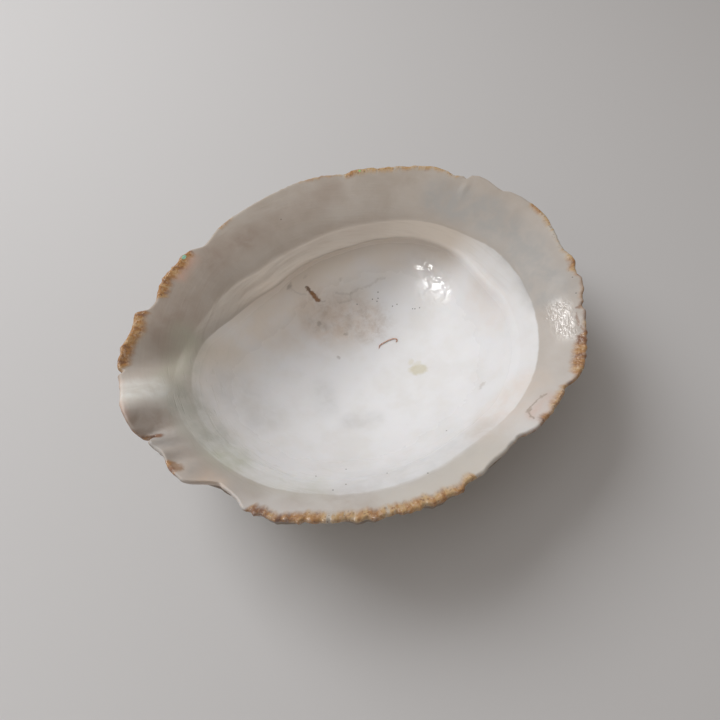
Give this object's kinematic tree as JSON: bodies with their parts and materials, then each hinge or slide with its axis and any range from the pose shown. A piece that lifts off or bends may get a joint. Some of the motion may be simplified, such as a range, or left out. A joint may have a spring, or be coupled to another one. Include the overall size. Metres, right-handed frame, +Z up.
{
  "type": "giant clam shell",
  "caption": "One valve of a giant clam lying hollow side up: a thick oval bowl with an inner ledge, a broad sloping lip and a lobed, pleated margin.",
  "frame": {"origin": "centre of the valve's box in plan, on the surface that the belly rests on", "axes": "+X along the longest extent, from the pleated end to the plain end; +Z up out of the hollow; +Y towards the side with the high ledge"},
  "size_m": [0.3036, 0.2454, 0.0937],
  "materials": {
    "shell": "porcelain-like, smooth and softly glossy inside, dull and worn outside"
  },
  "bodies": {
    "root": {"valve": "shell"}
  },
  "joints": []
}
